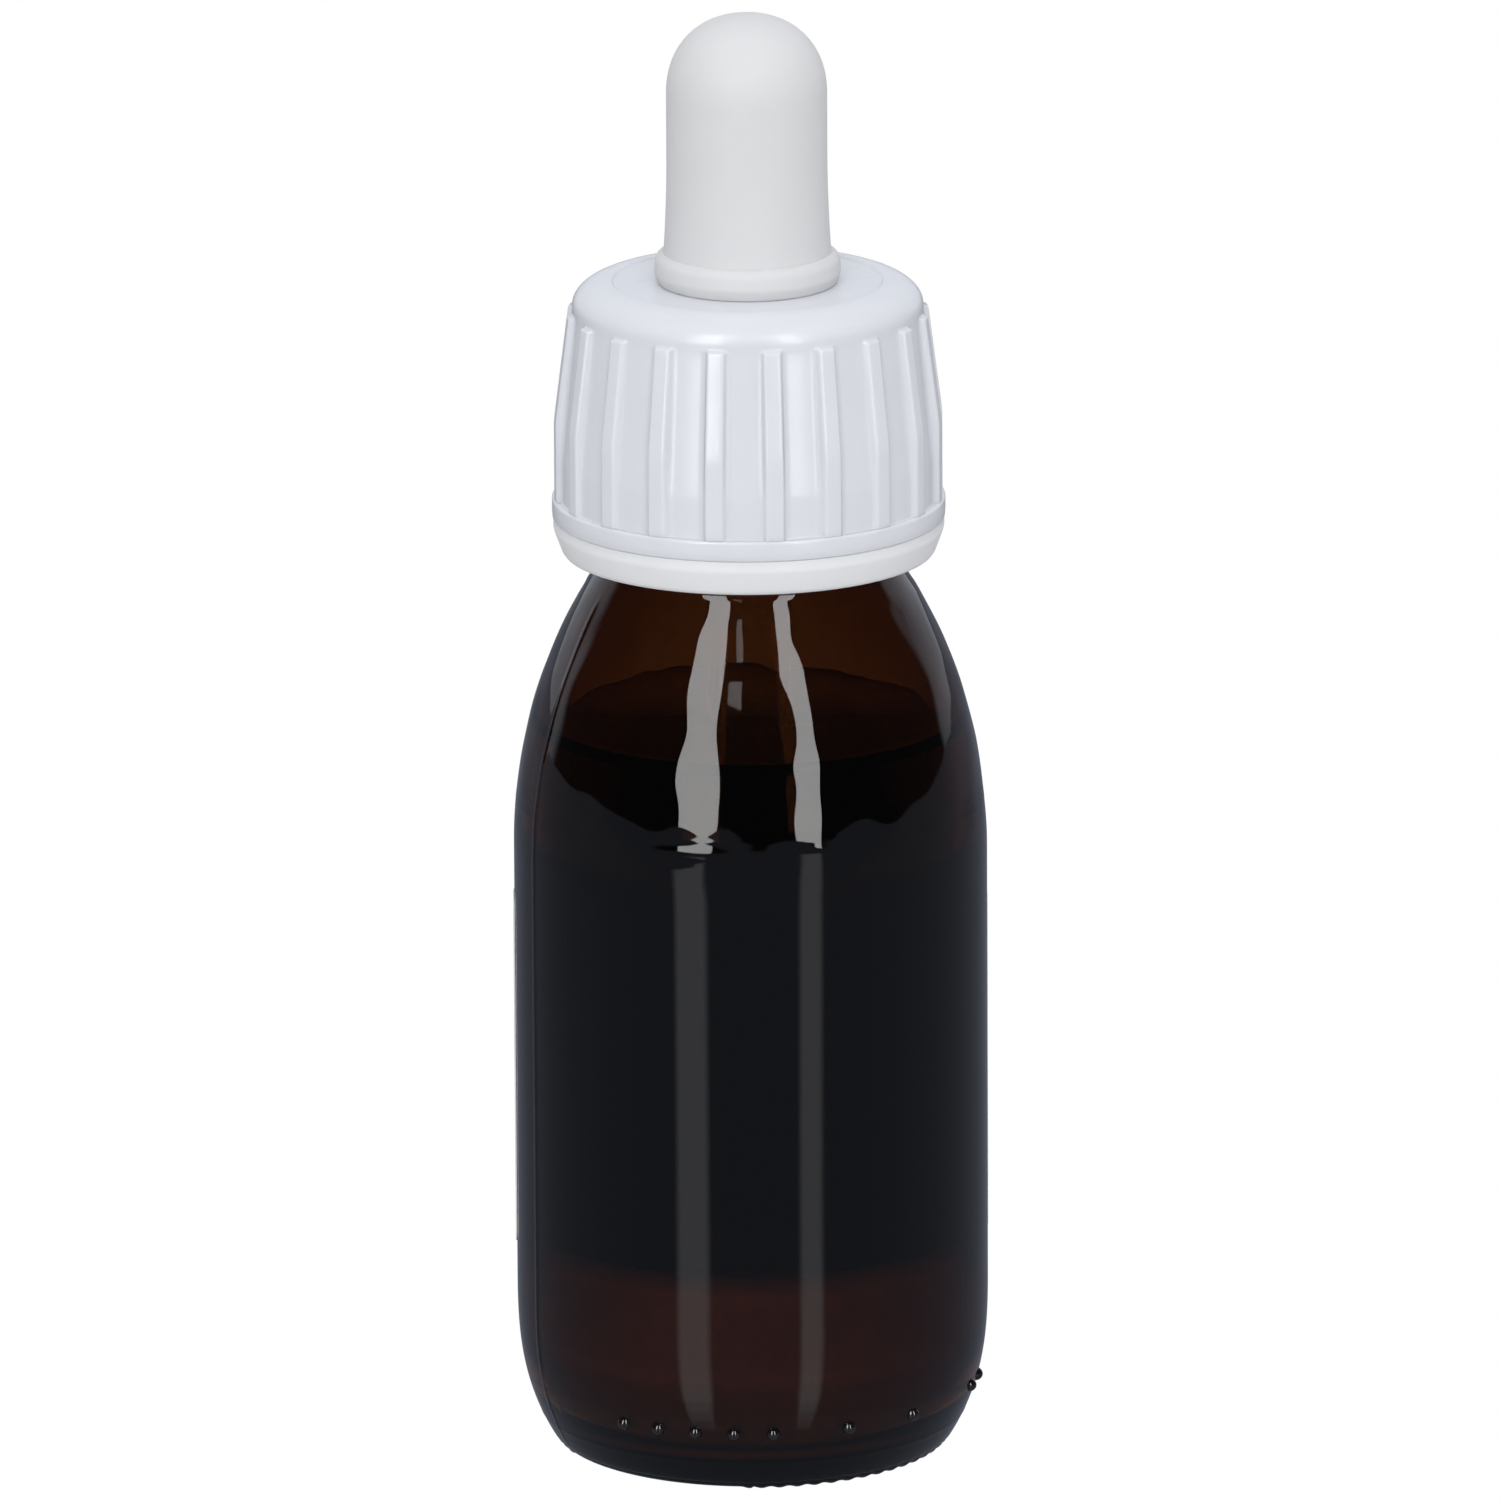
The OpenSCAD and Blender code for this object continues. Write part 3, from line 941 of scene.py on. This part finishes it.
def build_object():
    dress(make_bottle(), amber_glass(), "bottle", "amber_glass", "glass_bottle")
    dress(make_dots(), bead_painted_dark(), "bottle", "amber_glass")
    dress(make_liquid(), syrup(), "bottle", "amber_glass")
    dress(make_label(), paper(), "bottle", "label_paper", "rear_label")
    ring = dress(make_ring(), ring_plastic(), "tamper_ring", "white_plastic_matte", "tamper_ring")
    cap = dress(make_cap(), cap_plastic(), "cap", "white_plastic", "screw_cap")
    for piece in (ring, cap):
        piece.visible_glossy = False  # so the strips show on the shoulder right up to the ring
    dress(make_pipette(), clear_glass(), "dropper", "clear_glass", "glass_pipette")
    skin = rubber()
    dress(make_collar(), skin, "dropper", "white_rubber")
    teat = dress(make_bulb(), skin, None, "white_rubber", "rubber_bulb")
    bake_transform(teat)


# ---------------------------------------------------------------- studio

WHITE = (1.0, 1.0, 1.0)
FLOOR_DROP = 0.02 * MM
FLOOR_FILL = (0.64, 0.64, 0.65)
FILL_LEVEL = (0.55, 0.56, 0.59)
FILL_ABOVE = (0.80, 0.81, 0.84)
DIM_BEHIND_GLASS = (0.03, 0.03, 0.035)
TABLE_IN_GLOSS = (0.158, 0.172, 0.212)
ROOM_IN_GLOSS = [
    (0.73, (0.028, 0.028, 0.032)),
    (0.77, (0.38, 0.40, 0.45)),
    (1.0, (0.65, 0.69, 0.76)),
]
FLOOR_THROUGH_GLASS = [
    (0.13, (0.55, 0.55, 0.55)),
    (0.17, (0.005, 0.005, 0.005)),
    (0.53, (0.005, 0.005, 0.005)),
    (0.60, (0.8, 0.8, 0.8)),
]


def light_path_shader(tree, choices, base):
    """Picks a colour by the kind of ray. Each choice pairs a Light Path output with its colour, and
    a later one wins. Rays with no choice see base."""
    path = tree.nodes.new("ShaderNodeLightPath")
    picked = base
    for ray, colour in choices:
        picked = mix_colours(tree, path.outputs[ray], picked, colour)
    return picked


def math_node(tree, operation, first, second):
    """The output of a Math node. second is a number or another output."""
    node = tree.nodes.new("ShaderNodeMath")
    node.operation = operation
    tree.links.new(first, node.inputs[0])
    if isinstance(second, float):
        node.inputs[1].default_value = second
    else:
        tree.links.new(second, node.inputs[1])
    return node.outputs["Value"]


def dim_in_front(tree, y, near, far, bright):
    """What rays through the glass see. One that a glass face turned back to the front sees a dim
    room, from near to far along y. Any other, and light on its way to the syrup, sees bright."""
    path = tree.nodes.new("ShaderNodeLightPath")
    clear = math_node(tree, "LESS_THAN", path.outputs["Diffuse Depth"], 0.5)
    turned = math_node(tree, "GREATER_THAN", path.outputs["Glossy Depth"], 0.5)
    both = math_node(tree, "MULTIPLY", clear, turned)
    factor = math_node(tree, "MULTIPLY", both, map_range(tree, y, near, far))
    return mix_colours(tree, factor, bright, DIM_BEHIND_GLASS)


def make_world():
    """White studio: white behind the object, a dim room in front of it, and an even soft fill.
    Gloss sees a grey table below the horizon."""
    world = bpy.data.worlds.new("studio")
    bpy.context.scene.world = world
    world.use_nodes = True
    tree = world.node_tree
    direction = tree.nodes.new("ShaderNodeTexCoord").outputs["Generated"]
    split = tree.nodes.new("ShaderNodeSeparateXYZ")
    tree.links.new(direction, split.inputs["Vector"])
    across = split.outputs["Y"]
    up = split.outputs["Z"]
    room = colour_ramp(tree, map_range(tree, across, -1, 1), ROOM_IN_GLOSS)
    gloss = mix_colours(tree, map_range(tree, up, -0.036, -0.028), TABLE_IN_GLOSS, room)
    through = dim_in_front(tree, across, -0.1, -0.3, (0.9, 0.9, 0.9))
    choices = [("Is Glossy Ray", gloss), ("Is Transmission Ray", through), ("Is Camera Ray", WHITE)]
    fill = mix_colours(tree, up, FILL_LEVEL, FILL_ABOVE)
    picked = light_path_shader(tree, choices, fill)
    tree.links.new(picked, tree.nodes["Background"].inputs["Color"])


def make_floor():
    """Pale floor, white to the camera. Reflections see the world's grey table in its place."""
    bm = bmesh.new()
    bmesh.ops.create_circle(bm, cap_ends=True, segments=96, radius=2.0)
    floor = finish_mesh(bm, "floor")
    floor.location.z = -FLOOR_DROP
    material = bpy.data.materials.new("floor")
    material.use_nodes = True
    tree = material.node_tree
    tree.nodes.remove(tree.nodes["Principled BSDF"])
    glow = tree.nodes.new("ShaderNodeEmission")
    spot = tree.nodes.new("ShaderNodeTexCoord").outputs["Object"]
    split = tree.nodes.new("ShaderNodeSeparateXYZ")
    tree.links.new(spot, split.inputs["Vector"])
    lit = floor_seen_through_glass(tree, spot)
    through = dim_in_front(tree, split.outputs["Y"], -0.12, -0.20, lit)
    choices = [("Is Transmission Ray", through), ("Is Camera Ray", WHITE)]
    picked = light_path_shader(tree, choices, FLOOR_FILL)
    tree.links.new(picked, glow.inputs["Color"])
    tree.links.new(glow.outputs["Emission"], tree.nodes["Material Output"].inputs["Surface"])
    floor.data.materials.append(material)
    floor.visible_glossy = False


def floor_seen_through_glass(tree, spot):
    """Brightness of the floor by its distance from the axis: bright close in and far out, dark
    between."""
    length = tree.nodes.new("ShaderNodeVectorMath")
    length.operation = "LENGTH"
    tree.links.new(spot, length.inputs[0])
    scaled = math_node(tree, "MULTIPLY", length.outputs["Value"], 2.5)
    return colour_ramp(tree, scaled, FLOOR_THROUGH_GLASS)


def area_light(name, azimuth, distance, low, high, width, power, colour=(1, 1, 1)):
    """An upright softbox at an azimuth from the front, facing the axis."""
    data = bpy.data.lights.new(name, "AREA")
    data.shape = "RECTANGLE"
    data.size = width
    data.size_y = high - low
    data.energy = power
    data.color = colour
    light = bpy.data.objects.new(name, data)
    turn = math.radians(azimuth)
    light.location = (distance * math.sin(turn), -distance * math.cos(turn), (low + high) / 2)
    light.rotation_euler = (math.radians(90), 0, turn)
    bpy.context.scene.collection.objects.link(light)
    return light


def strip_light(name, azimuth, width, brightness, low=0.03, high=1.1, distance=0.8):
    """A tall strip that shows in gloss and glass but adds nothing to the soft fill."""
    power = brightness * math.pi * width * (high - low)
    light = area_light(name, azimuth, distance, low, high, width, power)
    light.visible_diffuse = False
    return light


def make_lights():
    strip_light("strip_left", -26.4, 0.26, 5.8)
    strip_light("strip_right", 28.3, 0.18, 5.8)
    # the strips' own dim images in the glossy table, stacked a little apart so that their edges fade
    for k, low in enumerate((-0.80, -0.68, -0.58, -0.48)):
        strip_light("table_left", -28.8, 0.19 + 0.02 * k, 0.15, low, -0.05, 0.84 - 0.01 * k)
        strip_light("table_right", 28.8, 0.125 + 0.02 * k, 0.15, low, -0.05, 0.84 - 0.01 * k)
    strip_light("panel_low", -9.0, 0.10, 1.6, 0.45, 0.60)
    strip_light("panel_high", -8.0, 0.05, 1.6, 0.74, 0.88)
    key = area_light("key", 0, 1.4, 0.8, 1.8, 1.4, 18.0)
    key.visible_glossy = False
    key.visible_transmission = False


def make_camera():
    """Long lens from 15 degrees above, framing the object as in a product shot."""
    data = bpy.data.cameras.new("camera")
    camera = bpy.data.objects.new("camera", data)
    bpy.context.scene.collection.objects.link(camera)
    bpy.context.scene.camera = camera
    elevation = math.radians(15.0)
    distance = 1.7
    target = Vector((0, 0, 58.72 * MM))
    back = Vector((0, -math.cos(elevation), math.sin(elevation)))
    frame_height = 123.5 * MM
    data.sensor_width = 36
    data.lens = 18 / (frame_height / 2 / distance)
    data.clip_start = 0.1
    data.clip_end = 20
    camera.location = target + back * distance
    camera.rotation_mode = "QUATERNION"
    lean = Quaternion((0, 0, 1), math.radians(-0.3))
    camera.rotation_quaternion = (-back).to_track_quat("-Z", "Y") @ lean


bpy.context.scene.view_settings.view_transform = "Standard"
make_camera()
make_world()
make_floor()
make_lights()
build_object()
